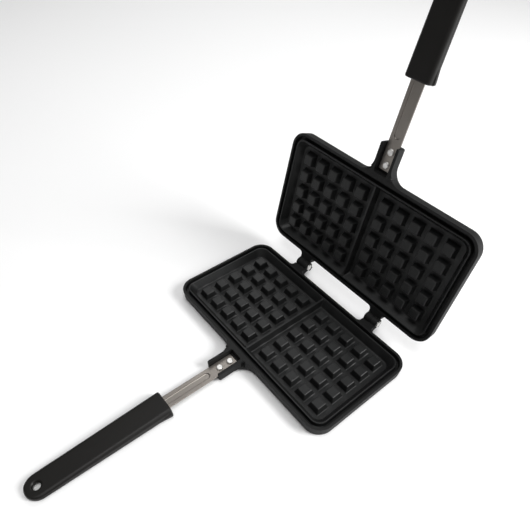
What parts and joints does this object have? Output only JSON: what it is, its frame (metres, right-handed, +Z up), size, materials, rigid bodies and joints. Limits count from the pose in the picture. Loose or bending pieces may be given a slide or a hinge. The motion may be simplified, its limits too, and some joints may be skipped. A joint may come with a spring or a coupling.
{
  "type": "stovetop waffle pan",
  "caption": "Folding cast waffle pan for a stove: hinged halves with studded cavities, each on a riveted steel strip with a moulded grip.",
  "frame": {"origin": "middle of the lower pan's flat base, on the surface it stands on", "axes": "+Z up out of the lower pan, +Y towards the hinge (the handles point to -Y when shut), +X along the hinge"},
  "size_m": [0.247, 0.47, 0.3752],
  "materials": {
    "nonstick_casting": "black semi-matt non-stick coating on cast aluminium",
    "handle_steel": "plain stamped stainless steel, satin",
    "rivet_aluminium": "bright upset aluminium",
    "pin_steel": "bright turned steel",
    "grip_phenolic": "black moulded phenolic with a soft sheen"
  },
  "bodies": {
    "lower_half": {"lower_pan": "nonstick_casting", "lower_handle_strip": "handle_steel", "lower_inner_rivet": "rivet_aluminium", "lower_outer_rivet": "rivet_aluminium", "lower_grip": "grip_phenolic", "left_hinge_pin": "pin_steel", "right_hinge_pin": "pin_steel"},
    "upper_half": {"upper_pan": "nonstick_casting", "upper_handle_strip": "handle_steel", "upper_inner_rivet": "rivet_aluminium", "upper_outer_rivet": "rivet_aluminium", "upper_grip": "grip_phenolic"}
  },
  "joints": [
    {"name": "hinge", "type": "hinge", "parent": "lower_half", "child": "upper_half", "pos_m": [0, 0.0792, 0.013], "axis": [1, 0, 0], "range_deg": [0, 102.9]}
  ]
}
